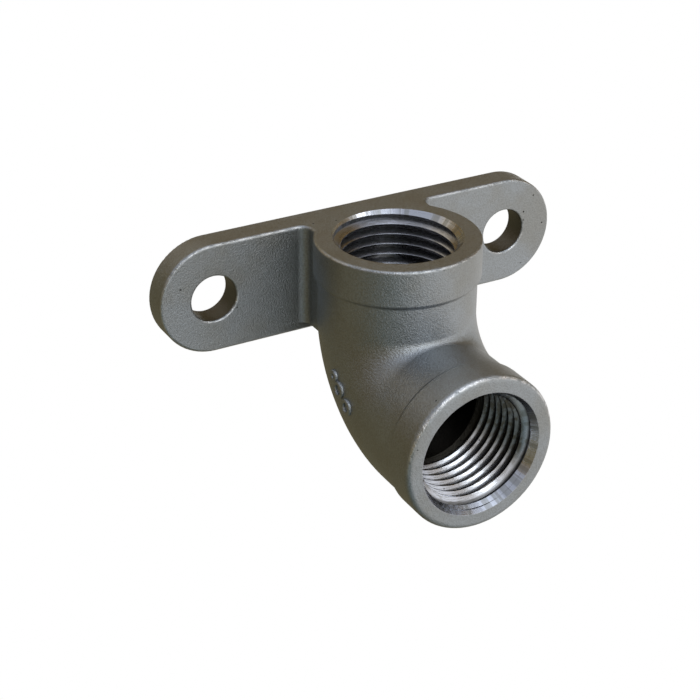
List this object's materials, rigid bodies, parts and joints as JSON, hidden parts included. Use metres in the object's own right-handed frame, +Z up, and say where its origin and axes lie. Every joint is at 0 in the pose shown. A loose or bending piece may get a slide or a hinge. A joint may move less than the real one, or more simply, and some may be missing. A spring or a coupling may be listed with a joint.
{
  "type": "wall plate elbow",
  "caption": "Cast steel wall plate elbow: a round-ended screw plate carrying a right-angle bend between an upward and a forward internally threaded pipe socket.",
  "frame": {"origin": "midway between the screw holes, on the back face of the plate", "axes": "+X along the plate, +Y into the wall, +Z up out of the upper socket"},
  "size_m": [0.0752, 0.0423, 0.0406],
  "materials": {
    "cast_steel": "blasted investment-cast stainless steel, with bright machined threads"
  },
  "bodies": {
    "root": {"wall_plate_elbow": "cast_steel"}
  },
  "joints": []
}
